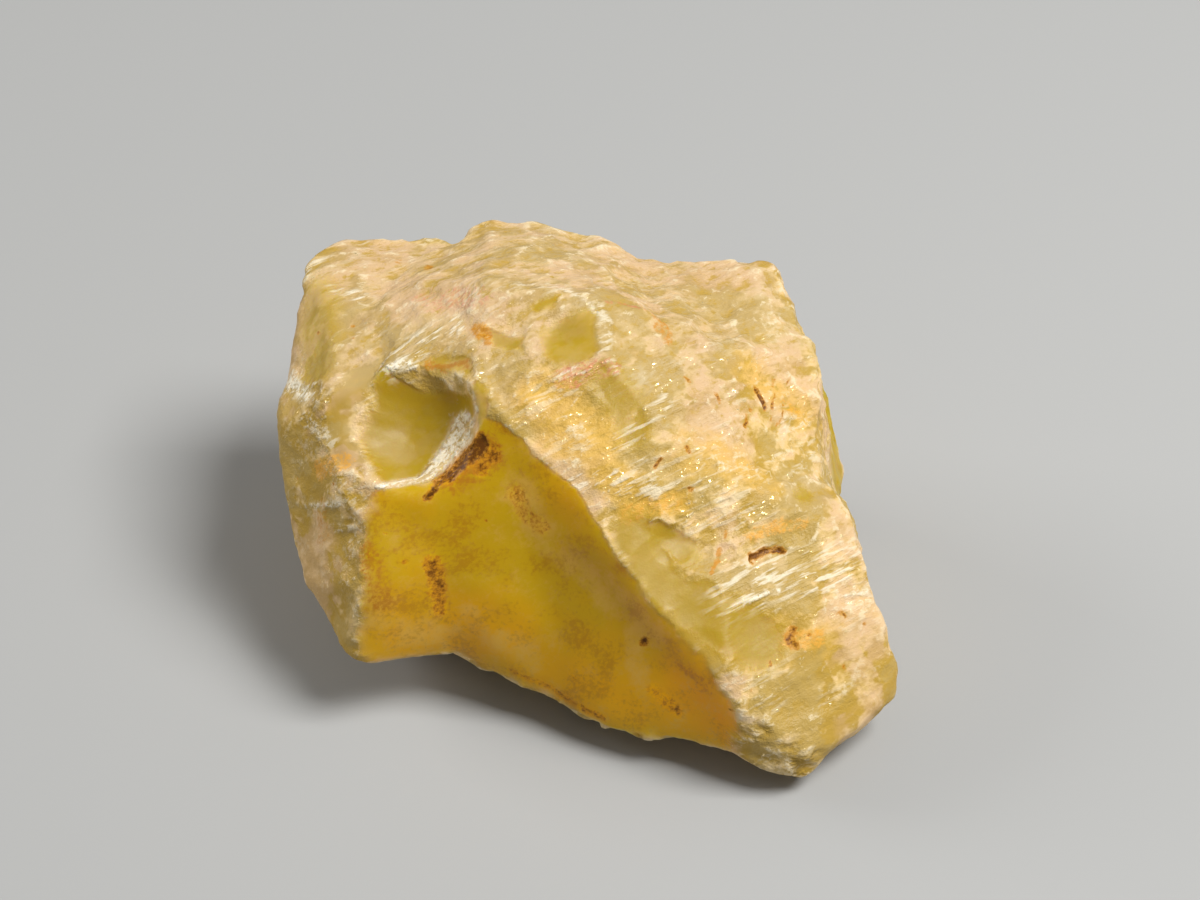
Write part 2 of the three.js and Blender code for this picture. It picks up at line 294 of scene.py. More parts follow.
# the pocket, its deeper upper part and the inner side of its lip, where a highlight is painted,
# in mm on the board
pocketTop = [(-8.4, 10.1), (-7.6, 9.4), (-6.5, 8.8), (-5.8, 9.0), (-4.6, 8.7), (-4.4, 7.8), (-5.0, 7.4)]
pocketLeft = [(-9.2, 6.9), (-8.9, 8.0), (-8.8, 8.9)]
pocketOutline = pocketTop + [(-5.3, 6.4), (-5.9, 5.3), (-6.3, 5.1), (-8.3, 5.0), (-8.9, 6.0)] + pocketLeft
pocketDepth = pocketTop + [(-5.9, 7.0), (-7.2, 6.8), (-8.6, 6.6)] + pocketLeft
lipHighlightOutline = [
    (-4.9, 8.3), (-4.6, 7.8), (-5.1, 6.8), (-5.6, 6.0), (-6.3, 5.2), (-7.2, 4.9),
    (-8.2, 4.9), (-8.2, 5.2), (-7.1, 5.4), (-6.5, 6.0), (-6.0, 6.9), (-5.4, 8.0),
]
# Everything painted by strokes. A stroke is its half width in mm, its strength and the places it
# runs over, as longitudes and latitudes seen from the heart. Calm places have less relief, glassy
# ones are smooth and clear, gold ones are richer in colour and in painted glints, frost is white
# silk with a painted sheen on the silky band and the lip, gleam is its polished part with a painted
# highlight and haze is pale cloud in the front.
markings = {
    "calm": [
        (2.6, 0.5, [(-112, 22), (-95, 15), (-80, 5)]),                # left side
        (2.2, 0.6, [(-72, 0), (-62, -12)]),
        (2.2, 0.45, [(36, 0), (48, -8), (60, -10)]),                  # tip
        (1.4, 0.6, [(45, -17), (58, -17)]),
        (0.9, 0.6, [(18, 28), (24, 10), (28, -4)]),                   # beside the ridge
        (0.6, 1.0, [(-97, 30), (-90, 26), (-83, 21), (-78, 20)]),     # left edge of the pocket
    ],
    "rust": [
        (0.22, 0.9, [(-60, 22), (-61, 28)]),                          # under the pocket's lip
        (0.5, 1.0, [(-61, 30), (-61, 37), (-60, 43)]),
        (0.5, 0.7, [(-60, 42), (-55, 43)]),
        (0.35, 0.6, [(-55, 40), (-53, 36)]),
        (0.12, 0.9, [(-60, 9), (-57, 5), (-55, 2)]),                  # down the left of the front
        (0.42, 0.62, [(-50, 4), (-47, -2)]),
        (0.3, 0.5, [(-47, -3), (-45, -8)]),
        (0.5, 0.3, [(-36, 34), (-30, 28), (-22, 24)]),
        (0.2, 0.6, [(-25, -26), (-18, -27)]),
        (0.2, 0.5, [(-18, -27), (4, -27)]),
        (0.13, 0.8, [(-54, 6)]),
        (0.12, 0.7, [(-60, 11)]),
        (0.14, 0.6, [(-64, 12)]),
        (0.1, 0.5, [(-42, 21)]),
        (0.24, 1.0, [(17, -7)]),
        (0.12, 0.5, [(4, -15)]),
        (0.12, 0.5, [(-3, -23)]),
        (0.4, 0.35, [(17, -16), (21, -18)]),
        (0.1, 0.95, [(100, 33), (94, 28)]),                           # short strokes on the scaly facet
        (0.1, 0.8, [(91, 32), (83, 33)]),
        (0.07, 0.7, [(105, 28), (91, 26)]),
        (0.07, 0.6, [(105, 25), (90, 24)]),
        (0.1, 0.9, [(56, 44), (57, 38)]),
        (0.1, 0.7, [(38, 44), (44, 46)]),
        (0.1, 0.7, [(46, 32), (52, 31)]),
        (0.1, 0.6, [(96, 56), (93, 53)]),
        (0.1, 0.6, [(91, 44), (88, 42)]),
        (0.1, 0.9, [(49, 8), (51, 9)]),                               # the arched crevice
        (0.15, 1.0, [(51, 9), (54, 9), (58, 8)]),
        (0.18, 0.75, [(47, -3), (45, -4), (46, -5)]),                 # spots on the tip
        (0.12, 0.8, [(49, -4)]),
        (0.1, 0.8, [(57, -3), (58, -4)]),
        (0.12, 0.7, [(60, -6)]),
        (0.12, 0.6, [(39, -6)]),
        (0.12, 0.6, [(52, -10)]),
        (0.1, 0.7, [(29, -11)]),
        (0.1, 0.5, [(34, -8)]),
        (0.14, 0.7, [(-111, 29)]),                                    # spots on the left side
        (0.1, 0.6, [(-107, 29)]),
        (0.12, 0.6, [(-109, 24)]),
        (0.12, 0.5, [(-104, 23)]),
        (0.1, 0.6, [(-84, 8)]),
        (0.1, 0.6, [(-76, 14)]),
        (0.22, 0.55, [(-137, 32)]),                                   # specks on the plateau
        (0.18, 0.55, [(-136, 26)]),
        (0.18, 0.5, [(-141, 47)]),
    ],
    "russet": [
        (0.75, 0.5, [(-59, 7), (-52, -2)]),
        (0.6, 0.45, [(-49, 4), (-45, -8)]),
        (1.0, 0.85, [(-56, 41), (-60, 31)]),
        (0.35, 0.6, [(23, -8), (27, -10)]),
        (0.25, 1.0, [(17, -7)]),                                      # the red dot on the front
        (0.13, 0.9, [(49, 16), (44, 13), (38, 10)]),
        (0.2, 0.8, [(-97, 44), (-93, 54)]),
        (0.25, 0.7, [(-114, 55), (-107, 59)]),
        (0.35, 0.55, [(137, 58), (120, 59)]),
        (0.6, 0.35, [(-62, 42), (-50, 40)]),
        (0.5, 0.35, [(-76, 8), (-72, 2)]),
    ],
    "orange": [
        (0.35, 0.55, [(54, 13), (61, 12), (66, 10)]),
        (0.5, 0.7, [(-81, 13), (-78, 19)]),
        (0.25, 0.9, [(-114, 56), (-110, 58)]),
        (0.5, 0.6, [(46, -4), (50, -5)]),
        (0.4, 0.3, [(-97, 44), (-93, 54)]),
        (0.6, 0.35, [(19, 32), (38, 30)]),
        (0.4, 0.5, [(98, 24), (97, 20)]),
    ],
    "rose": [
        (0.6, 0.4, [(-60, 81), (85, 82)]),
        (0.16, 0.95, [(59, 87)]),
        (0.2, 0.7, [(-24, 83)]),
        (0.14, 0.7, [(165, 68), (150, 62), (140, 58)]),
        (0.8, 0.3, [(-123, 39), (-127, 54)]),
    ],
    "frostAndSheen": [
        (0.36, 1.0, [(-67, 29), (-70, 36), (-73, 43)]),               # the crescent of the lip, a painted highlight
        (0.16, 0.9, [(-73, 43), (-74, 50)]),
        (0.16, 1.0, [(-69, 19), (-67, 22), (-66, 28)]),
        (0.08, 0.5, [(-86, 44), (-75, 53)]),                          # ledges on the pocket's right wall
        (0.08, 0.5, [(-85, 38), (-76, 50)]),
        (0.08, 0.5, [(-83, 35), (-77, 44)]),
        (0.24, 0.6, [(167, 70), (155, 75), (138, 81), (87, 86)]),     # rim of the window
        (0.8, 1.0, [(-98, 37), (-103, 41), (-112, 49)]),              # fibres above the pocket
        (0.22, 1.0, [(-96, 37), (-96, 41)]),
        (0.6, 0.5, [(-126, 51), (-164, 64)]),
        (0.5, 0.7, [(-60, 81), (85, 82)]),                            # the flake at the crest
        (1.1, 0.8, [(38, 5), (50, 5), (65, 1)]),                      # the silky band, white silk with a painted sheen
        (0.22, 1.0, [(38, 4), (46, 2)]),
        (0.22, 1.0, [(61, -2), (65, -3)]),
        (0.6, 0.9, [(-102, 16), (-94, 22)]),
        (0.4, 0.6, [(-90, 18), (-83, 20)]),
        (0.2, 0.8, [(-79, 5), (-71, 12)]),
        (0.18, 0.7, [(-71, 5), (-66, 9)]),
        (0.45, 0.7, [(-6, 44), (9, 48), (21, 42), (34, 36)]),         # fans of fibre on the scaly facet
        (0.5, 0.7, [(28, 59), (75, 58)]),
        (0.22, 0.6, [(19, 36), (52, 33)]),
        (0.25, 0.6, [(46, 23), (72, 24)]),
        (0.12, 0.8, [(26, 26), (43, 25)]),
        (1.0, 0.7, [(-125, 21)]),
        (0.4, 0.8, [(-120, 25), (-120, 29)]),
        (0.5, 0.5, [(136, 24)]),
    ],
    "glassy": [
        (0.9, 0.5, [(64, 79), (41, 61)]),
        (1.0, 0.7, [(19, 24), (25, 8)]),
        (0.6, 0.7, [(29, 22), (35, 15)]),
        (0.5, 0.6, [(73, 13)]),
        (1.3, 0.9, [(31, 4), (39, -3)]),                              # the dish by the tip
        (1.1, 0.5, [(-119, 24), (-101, 23)]),
        (0.3, 0.7, [(-78, 56), (-65, 49)]),
        (0.4, 0.6, [(-97, 46), (-93, 54)]),
        (1.2, 0.8, [(117, 3), (100, -6)]),
        (2.2, 0.6, [(180, 10)]),                                      # shells on the far side
        (1.8, 0.6, [(-155, -10)]),
        (1.6, 0.6, [(140, -20)]),
    ],
    "gold": [
        (1.6, 0.9, [(-51, 71), (4, 62)]),
        (0.9, 0.8, [(9, 50), (26, 35)]),
        (0.6, 1.0, [(19, 32), (41, 30)]),
        (0.7, 0.8, [(68, 26), (68, 18)]),
        (1.0, 0.7, [(104, 37), (98, 19)]),
        (1.4, 0.5, [(60, 40), (66, 30)]),
        (1.2, 0.5, [(40, -2), (50, -6)]),
    ],
    "gleamHighlight": [
        (0.44, 1.0, [(-67, 30), (-70, 37), (-72, 41)]),               # the crescent of the pocket's lip, a painted highlight
        (0.2, 0.8, [(-72, 42), (-74, 50)]),
        (0.16, 1.0, [(-69, 19), (-67, 22), (-66, 28)]),
        (0.25, 1.0, [(-96, 36), (-97, 40)]),
        (0.4, 0.9, [(-102, 16), (-95, 20)]),
        (0.16, 0.6, [(-89, 18), (-84, 20)]),
        (0.16, 0.8, [(-79, 5), (-71, 12)]),
        (0.14, 0.9, [(41, 3), (50, 3)]),
        (0.16, 0.8, [(61, -2), (65, -3)]),
        (0.16, 0.7, [(-164, 64), (161, 73)]),
    ],
    "haze": [
        (0.9, 0.8, [(-36, 35), (-18, 19), (5, 5), (19, -2)]),         # under the ridge
        (0.7, 0.8, [(-27, -17), (-17, -23)]),
        (0.5, 0.7, [(14, -6), (14, -18)]),
        (1.2, 0.7, [(-56, -4), (-42, -18)]),
        (0.5, 0.6, [(-38, -10), (-33, -16)]),
    ],
}

# shallow hollows broken out of the stone: radius, depth, place
dishes = [
    (1.0, 0.15, (32, 19)),
    (0.8, 0.10, (73, 13)),
    (0.7, 0.10, (44, 40)),
    (0.9, 0.10, (86, 48)),
    (1.1, 0.12, (-104, 22)),
]

# rings round the shell-shaped breaks: how far they reach, their spacing, height and middle
ripples = [
    (2.6, 0.45, 0.05, (-100, 5)),
    (5.0, 0.9, 0.10, (165, 20)),
    (4.5, 0.8, 0.10, (120, -10)),
]


def stoneSurface():
    # Directions through the cube's lattice are cast out from the heart onto the CAD facets. Then
    # the points are averaged with their neighbours, more rounds the smoother the place is, and
    # the masks of all marks are worked out on them.
    shape = stoneShape
    low, high = (np.array(corner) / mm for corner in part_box("danburite"))
    heart = low + (high - low) * (0.5, 0.5, shape["heartHeight"])
    facets = cadFacets("danburite")
    lattice, quads = cubeGrid(shape["gridCells"])
    ways = unit(np.tan(lattice * math.pi / 4) * (high - low) / 2)
    ways = unit(ways + shape["crowding"])
    points = heart + ways * castOut(ways, facets, heart)[:, None]
    links = neighbours(quads)
    size, reach = shape["wander"]
    wander = np.stack([clouds(points, size, 3, 900 + k) for k in range(3)], 1) * reach
    front = filled(points + wander, frontOutline, *shape["frontEdge"], facets, heart)
    points = spread(points, links, shape["frontRounds"], front * 0.9)
    steep = 1 - between((pointNormals(points, quads) * ways).sum(1), *shape["steepFacing"])
    points = spread(points, links, shape["steepRounds"], steep * 0.9)
    points = spread(points, links, shape["edgeRounds"])
    calm, glassy = (painted(points, markings[name], facets, heart) for name in ("calm", "glassy"))
    points = spread(points, links, shape["calmRounds"], np.maximum(calm, glassy) * 0.7)
    masks = {}
    for name, strokes in markings.items():
        masks[name] = painted(points + wander, strokes, facets, heart)
    for fade, strength, outline in clearWindows:
        window = filled(points + wander, outline, -fade / 3, fade, facets, heart)
        masks["glassy"] = np.maximum(masks["glassy"], window * strength)
    for outline, strength in ((pocketOutline, 0.95), (pocketDepth, 1.0)):
        window = filledOnBoard(points + wander, outline, *shape["pocketEdge"], heart)
        masks["glassy"] = np.maximum(masks["glassy"], window * strength)
    # the inner side of the lip gets a painted highlight: white silk there in place of the clear olive
    lipHighlight = filledOnBoard(points + wander * 0.5, lipHighlightOutline, *shape["lipHighlightEdge"], heart) * 0.9
    for name in ("frostAndSheen", "gleamHighlight"):
        masks[name] = np.maximum(masks[name], lipHighlight)
    masks["glassy"] *= 1 - lipHighlight
    masks["front"] = front
    return points, quads, links, masks, facets, heart


def alongGrain(points):
    # The places measured along the grain, level across it and square to both, shrunk along it by
    # its stretch, so that a pattern on them comes out drawn along the grain. A slow cloud bends it.
    shape = stoneShape
    turn, rise = math.radians(shape["grainTurn"]), math.radians(shape["grainRise"])
    along = np.array([math.cos(turn) * math.cos(rise), math.sin(turn) * math.cos(rise), math.sin(rise)])
    across = unit(np.cross((0, 0, 1), along))
    flow = points @ np.stack([along / shape["grainStretch"], across, np.cross(along, across)], 1)
    size, reach = shape["bends"]
    bends = np.stack([cloud(points, size, shape["seed"] + 70 + k) for k in range(3)], 1)
    return flow + bends * reach, bends


def roughen(points, quads, links, masks, facets, heart):
    # Heights are added along the normals: broad swells everywhere, broken faces, scales and flecks
    # on the rough skin, threads where it is silky, nicks along the edges, then shallow hollows and
    # rings. The masks that the finish reads from this relief are worked out here too.
    shape = stoneShape
    seed = shape["seed"]
    normals = pointNormals(points, quads)
    convex = ((points - spread(points, links, 6)) * normals).sum(1)
    flow, bends = alongGrain(points)

    glassy = np.minimum(masks["glassy"] * 1.3, 1)
    smooth = np.maximum.reduce([masks["front"], glassy, masks["calm"]])
    rough = 1 - between(smooth, 0, 1)
    scaly = rough * (1 - 0.7 * masks["frostAndSheen"])
    size, height = shape["swell"]
    relief = clouds(points, size, 3, seed) * height * (1 - 0.6 * masks["front"])
    size, height = shape["faces"]
    faces, faceTone = flakes(points, size, seed + 20)
    relief += faces * height * (1 - masks["front"])
    size, height = shape["scales"]
    scales, scaleTone = flakes(points, size, seed + 10)
    relief += scales * height * (0.1 + 0.9 * scaly)
    size, height = shape["flecks"]
    flecks, fleckTone = flakes(flow, size, seed + 30)
    relief += flecks * height * (0.05 + 0.95 * scaly)
    size, height = shape["grit"]
    relief += clouds(points, size, 2, seed + 50) * height * (0.15 + 0.85 * rough)
    size, height = shape["threads"]
    threads = cloud(flow / (shape["threadStretch"], 1, 1), size, seed + 60)
    relief += threads * height * masks["frostAndSheen"]
    size, height = shape["nicks"]
    edge = between(convex, *shape["edgeStands"]) * (1 - 0.7 * smooth)
    relief -= height * edge * between(clouds(points, size, 3, seed + 65), 0.15, 0.9)
    relief -= shape["rustDepth"] * masks["rust"] ** 3
    for radius, depth, spot in dishes:
        middle = onSurface([spot], facets, heart)[0]
        far = np.linalg.norm(points - middle, axis=1) / radius
        relief -= depth * np.clip(1 - far**2, 0, 1)
    for reach, spacing, height, spot in ripples:
        middle = onSurface([spot], facets, heart)[0]
        far = np.linalg.norm(points - middle, axis=1) + bends[:, 0] * 0.15
        ring = far / spacing % 1
        there = between(masks["glassy"], 0.1, 0.6) * (1 - between(far, 0.8 * reach, reach))
        relief += height * ring**2 * there
    # how far each place stands above its neighbours; the finish paints ridges lighter as highlight and
    # hollows darker as shade from it
    around = spread(relief, links, 4)
    masks["raised"] = np.clip(0.5 + (relief - around) / shape["reliefSpan"], 0, 1)
    print("relief from", round(relief.min(), 2), "to", round(relief.max(), 2), "mm")

    # the flat underside stays nearly flat and on the ground
    offGround = between(points[:, 2], 0, shape["quietHeight"])
    points = points + normals * (relief * (0.15 + 0.85 * offGround))[:, None]
    points[:, 2] = np.maximum(points[:, 2], 0)
    masks["edge"] = edge
    masks["top"] = between(spread(normals, links, 12)[:, 2], *shape["topFacing"])
    masks["rough"] = rough
    masks["tone"] = (faceTone * 0.5 + scaleTone + fleckTone) / 2.5
    masks["drift"] = clouds(points, shape["drift"], 4, seed + 80) * 0.5 + 0.5
    masks["veil"] = clouds(flow, shape["veil"], 4, seed + 90) * 0.5 + 0.5
    return points


points, quads, links, masks, facets, heart = stoneSurface()
points = roughen(points, quads, links, masks, facets, heart)
print("stone grid:", len(points), "points,", len(quads), "quads")


def addNode(tree, kind, inputs=None, **settings):
    # a node whose inputs are linked where a socket is given and set where a value is
    made = tree.nodes.new("ShaderNode" + kind)
    for name, value in settings.items():
        setattr(made, name, value)
    for name, value in (inputs or {}).items():
        if isinstance(value, bpy.types.NodeSocket):
            tree.links.new(value, made.inputs[name])
        else:
            made.inputs[name].default_value = value
    return made


def mixColour(tree, share, first, second):
    # the first colour at share 0, the second at share 1
    return addNode(tree, "Mix", {0: share, 6: first, 7: second}, data_type="RGBA").outputs[2]


def arithmetic(tree, kind, first, second):
    # the sum, product or larger one of two values
    return addNode(tree, "Math", {0: first, 1: second}, operation=kind).outputs[0]


def stepOver(tree, value, low, high, outLow=0.0, outHigh=1.0):
    # outLow at low, outHigh at high and a smooth step from one to the other
    steps = {"Value": value, "From Min": low, "From Max": high, "To Min": outLow, "To Max": outHigh}
    return addNode(tree, "MapRange", steps, interpolation_type="SMOOTHSTEP").outputs[0]


# The finish: colours are linear, lengths in millimetres. A noise is its size, octaves, stretch
# along the grain and roughness.
stoneFinish = {
    "cream": (0.72, 0.50, 0.20, 1),
    "peach": (0.77, 0.53, 0.27, 1),
    "bone": (0.51, 0.37, 0.22, 1),
    "sage": (0.49, 0.355, 0.13, 1),
    "blush": (0.64, 0.415, 0.23, 1),
    "waxy": (0.48, 0.30, 0.05, 1),
    "ochre": (0.70, 0.41, 0.06, 1),
    "olive": (0.67, 0.435, 0.009, 1),
    # painted highlight on the ridges, partly the milky whiteness of thin edges
    "ridgeMilkHighlight": (0.82, 0.68, 0.43, 1),
    "honey": (0.66, 0.41, 0.004, 1),
    "amberGlow": (0.85, 0.425, 0.002, 1),
    "haze": (0.80, 0.50, 0.10, 1),
    "smoke": (0.50, 0.215, 0.006, 1),
    "silk": (0.92, 0.84, 0.65, 1),
    "rust": (0.15, 0.050, 0.003, 1),
    "russet": (0.56, 0.23, 0.012, 1),
    "orange": (0.78, 0.38, 0.05, 1),
    "rose": (0.62, 0.20, 0.10, 1),
    # painted highlight on the small bright cleavage faces
    "glintHighlight": (1.0, 0.78, 0.40, 1),
    "creamFrom": (0.62, 0.76),            # where each colour starts and where it is full
    "peachFrom": (0.73, 0.85),
    "sageBelow": (0.48, 0.36),
    "blushFrom": (0.53, 0.66),
    "ochreFrom": (1.3, 2.3),
    "ridgeHighlightFrom": (0.72, 0.97),
    "hollowShadeBelow": (0.64, 0.38),
    "hazeFrom": (0.50, 0.80),
    "smokeFrom": (0.28, 0.50),
    "silkFrom": (0.48, 0.64),
    "glintFrom": (0.61, 0.66),
    "glintChance": (0.70, 0.75),
    "amberGlowFall": (8.5, 2.0),              # heights where the honey ends and the amber, partly painted glow, is full
    "dullness": (0.36, 0.52),             # roughness of the shiniest and the dullest skin
    "mottle": (1.2, 3.0, (1.4, 1, 1), 0.72),
    "fibres": (0.24, 2.0, (9, 1, 1), 0.6),
    "fine": (0.15, 2.0, (1.3, 1, 1), 0.65),
    "chips": (0.3, (1.6, 1, 1)),          # size and stretch of the smallest broken faces
    "bumpDepth": 0.18,
    "ior": 1.63,
    "specular": 0.12,
    "frontClearness": 0.2,                # share of the light that passes into the front
    "windowClearness": 0.4,               # the same for the pocket, the windows and the dish
    "milkiness": 0.7,                     # share of the rest that spreads under these clear places
    "roughTravel": 0.12,                  # how far it spreads under a stain or at their borders
    "smoothTravel": 4.0,                  # how far it spreads where they are clearest
    "travelByColour": (1.0, 0.8, 0.25),   # the same for red, green and blue, as shares
    "glintMetal": 0.7,                    # how metallic the bright faces look
    "absorbs": (0.985, 0.92, 0.06, 1),    # the colour that comes through
    "absorption": 350,                    # per metre
}


def waxyDanburite():
    # Layers of colour, one over another: broken skin with painted highlight on its ridges and painted
    # shade in its hollows, clear places, the golden front with a painted glow low down, silk with
    # painted highlights on the lip and edges, painted glints on bright cleavage faces, stains. Bump,
    # shine and clearness follow the same masks.
    look = stoneFinish
    material = bpy.data.materials.new("waxyDanburite")
    material.use_nodes = True
    tree = material.node_tree
    tree.nodes.clear()
    place = addNode(tree, "TexCoord").outputs["Object"]
    mask = {name: addNode(tree, "Attribute", attribute_name=name).outputs["Fac"] for name in masks}

    def turned(stretch):
        # the place measured along the grain and across it, shrunk by the stretch
        angles = (0, -math.radians(stoneShape["grainRise"]), math.radians(stoneShape["grainTurn"]))
        turn = addNode(tree, "Mapping", {"Vector": place, "Rotation": angles, "Scale": stretch})
        turn.vector_type = "TEXTURE"
        return turn.outputs[0]

    def noise(size, octaves, stretch, roughness):
        # clouds of that size drawn out along the grain, with halving ones on top, from 0 to 1
        grain = {"Vector": turned(stretch), "Scale": 1 / (size * mm), "Detail": octaves}
        grain["Roughness"] = roughness
        return addNode(tree, "TexNoise", grain).outputs["Fac"]

    def times(first, second):
        # the product
        return arithmetic(tree, "MULTIPLY", first, second)

    def plus(first, second):
        # the sum
        return arithmetic(tree, "ADD", first, second)

    def most(first, second):
        # the larger one
        return arithmetic(tree, "MAXIMUM", first, second)

    def vectors(kind, first, second):
        # one step of arithmetic on vectors
        return addNode(tree, "VectorMath", {0: first, 1: second}, operation=kind).outputs

    def step(value, name, outLow=0.0, outHigh=1.0):
        # a smooth step between the two values that the finish keeps under the name
        return stepOver(tree, value, *look[name], outLow, outHigh)

    drift, veil, rough, onFront = (mask[name] for name in ("drift", "veil", "rough", "front"))
    mottle, fibres, fine = (noise(*look[name]) for name in ("mottle", "fibres", "fine"))

    # the smallest broken faces: each cell tilts its own way and falls away from its middle. This
    # height only goes into the colour, as painted light and shade on the faces
    size, stretch = look["chips"]
    grid = turned(stretch)
    chips = addNode(tree, "TexVoronoi", {"Vector": grid, "Scale": 1 / (size * mm)}).outputs
    offset = vectors("SUBTRACT", grid, chips["Position"])[0]
    lean = vectors("SUBTRACT", chips["Color"], (0.5, 0.5, 0.5))[0]
    tilt = times(vectors("DOT_PRODUCT", offset, lean)["Value"], 1.6 / (size * mm))
    chipLightAndShade = plus(tilt, times(chips["Distance"], -0.5))
    draws = addNode(tree, "SeparateColor", {"Color": chips["Color"]}).outputs

    # colour of the broken skin: waxy, cream and peach by turns, ochre where it is gold
    clear = times(mask["glassy"], stepOver(tree, onFront, 0, 1, 1, 0))
    cloudy = plus(plus(mottle, times(mask["tone"], 0.25)), times(drift, 0.15))
    cloudy = plus(plus(cloudy, times(mask["calm"], -0.17)), times(mask["gold"], -0.04))
    skin = mixColour(tree, step(cloudy, "creamFrom"), look["waxy"], look["cream"])
    skin = mixColour(tree, step(cloudy, "peachFrom"), skin, look["peach"])
    pale = times(mask["top"], stepOver(tree, clear, 0, 0.6, 0.45, 0))
    skin = mixColour(tree, pale, skin, look["bone"])
    patch = plus(plus(times(drift, 0.6), times(mask["tone"], 0.4)), times(mask["gold"], 0.05))
    skin = mixColour(tree, step(patch, "sageBelow", 0, 0.45), skin, look["sage"])
    skin = mixColour(tree, step(patch, "blushFrom", 0, 0.5), skin, look["blush"])
    rich = plus(plus(mask["gold"], times(mottle, 2.0)), times(veil, 0.4))
    skin = mixColour(tree, step(rich, "ochreFrom", 0, 0.75), skin, look["ochre"])

    # ridges are painted milky as highlight, partly the whiteness of thin edges; hollows are painted
    # waxy and darker as shade; clear places are olive
    ridgeLightHollowShade = plus(times(mask["raised"], 0.45), times(mask["tone"], 0.3))
    ridgeLightHollowShade = plus(ridgeLightHollowShade, plus(times(draws["Green"], 0.12), times(fine, 0.5)))
    ridgeLightHollowShade = plus(ridgeLightHollowShade, times(chipLightAndShade, 0.12))
    skin = mixColour(tree, times(step(ridgeLightHollowShade, "ridgeHighlightFrom", 0, 0.8), rough), skin, look["ridgeMilkHighlight"])
    skin = mixColour(tree, times(step(ridgeLightHollowShade, "hollowShadeBelow", 0, 0.85), rough), skin, look["waxy"])
    deepClear = times(clear, stepOver(tree, cloudy, 0.60, 0.80, 1, 0.85))
    skin = mixColour(tree, deepClear, skin, look["olive"])

    # colour of the smooth front: honey above, amber below, partly its own deeper colour and partly a
    # painted glow of light through the thin lower edge, with hazy clouds and smoky specks
    height = addNode(tree, "SeparateXYZ", {"Vector": place}).outputs["Z"]
    honeyAbove, amberGlowBelow = look["amberGlowFall"]
    low = stepOver(tree, height, honeyAbove * mm, amberGlowBelow * mm)
    low = plus(low, times(plus(drift, -0.5), 0.8))
    gold = mixColour(tree, low, look["honey"], look["amberGlow"])
    hazy = plus(plus(times(fine, 0.3), times(mottle, 0.7)), times(mask["haze"], 0.25))
    gold = mixColour(tree, step(hazy, "hazeFrom", 0, 0.6), gold, look["haze"])
    specks = plus(times(fine, 0.6), plus(times(veil, 0.3), times(mottle, -0.3)))
    gold = mixColour(tree, step(specks, "smokeFrom", 0, 0.6), gold, look["smoke"])
    skin = mixColour(tree, onFront, skin, gold)

    # white silk: in the frosted places, with a painted sheen on the silky band, strewn over the skin,
    # partly painted highlight along the edges, and painted highlight where it gleams
    threads = step(fibres, "silkFrom")
    strewn = times(stepOver(tree, veil, 0.45, 0.75, 0, 0.4), rough)
    silky = most(mask["frostAndSheen"], times(strewn, stepOver(tree, mask["top"], 0, 1, 1, 0.45)))
    silky = times(times(threads, silky), stepOver(tree, onFront, 0, 1, 0.85, 0.0))
    # convex edges: white chipped wear and a painted highlight where the thin edges would glow
    silky = most(silky, times(mask["edge"], stepOver(tree, mottle, 0.45, 0.65, 0, 0.25)))
    # painted highlight: near white where the polished lip gleams
    silky = most(silky, times(mask["gleamHighlight"], stepOver(tree, plus(fine, fibres), 0.85, 1.10, 0.2, 1)))
    skin = mixColour(tree, silky, skin, look["silk"])

    # small bright cleavage faces: painted highlights in a lighter golden colour, also made metallic and
    # shinier
    glintHighlight = times(step(draws["Red"], "glintChance"), step(fine, "glintFrom"))
    glintHighlight = times(glintHighlight, times(rough, most(mask["gold"], stepOver(tree, veil, 0.45, 0.60))))
    skin = mixColour(tree, glintHighlight, skin, look["glintHighlight"])

    # stains with ragged edges, the rust darkest in its middle
    ragged = plus(plus(times(fine, 2.2), times(mottle, 1.0)), -1.6)
    for name in ("orange", "russet", "rose"):
        share = stepOver(tree, plus(mask[name], ragged), 0.1, 1)
        share = times(share, stepOver(tree, mask[name], 0.05, 0.4))
        skin = mixColour(tree, times(share, 0.85), skin, look[name])
    stain = plus(mask["rust"], ragged)
    there = stepOver(tree, mask["rust"], 0.02, 0.35)
    skin = mixColour(tree, times(stepOver(tree, stain, -0.1, 0.6, 0, 0.8), there), skin, look["russet"])
    skin = mixColour(tree, times(stepOver(tree, stain, 0.35, 1.2), there), skin, look["rust"])

    # relief too fine for the mesh
    strands = times(fibres, plus(times(mask["frostAndSheen"], 0.75), 0.25))
    relief = times(plus(strands, times(fine, 0.3)), stepOver(tree, rough, 0, 1, 0.16, 1))
    bumps = {"Height": relief, "Strength": 1.0, "Distance": look["bumpDepth"] * mm}
    bump = addNode(tree, "Bump", bumps).outputs[0]

    dull = stepOver(tree, mottle, 0.35, 0.65, *look["dullness"])
    dull = plus(dull, plus(times(clear, 0.04), times(onFront, -0.04)))
    dull = plus(dull, times(most(glintHighlight, mask["gleamHighlight"]), -0.12))
    through = most(times(onFront, look["frontClearness"]), times(clear, look["windowClearness"]))
    through = times(through, stepOver(tree, most(silky, there), 0, 1, 1, 0.2))
    deep = plus(most(onFront, times(clear, 0.6)), times(most(there, mask["rose"]), -1))
    travel = stepOver(tree, deep, 0, 1, look["roughTravel"] * mm, look["smoothTravel"] * mm)
    milky = stepOver(tree, most(onFront, clear), 0, 0.5, 0, look["milkiness"])

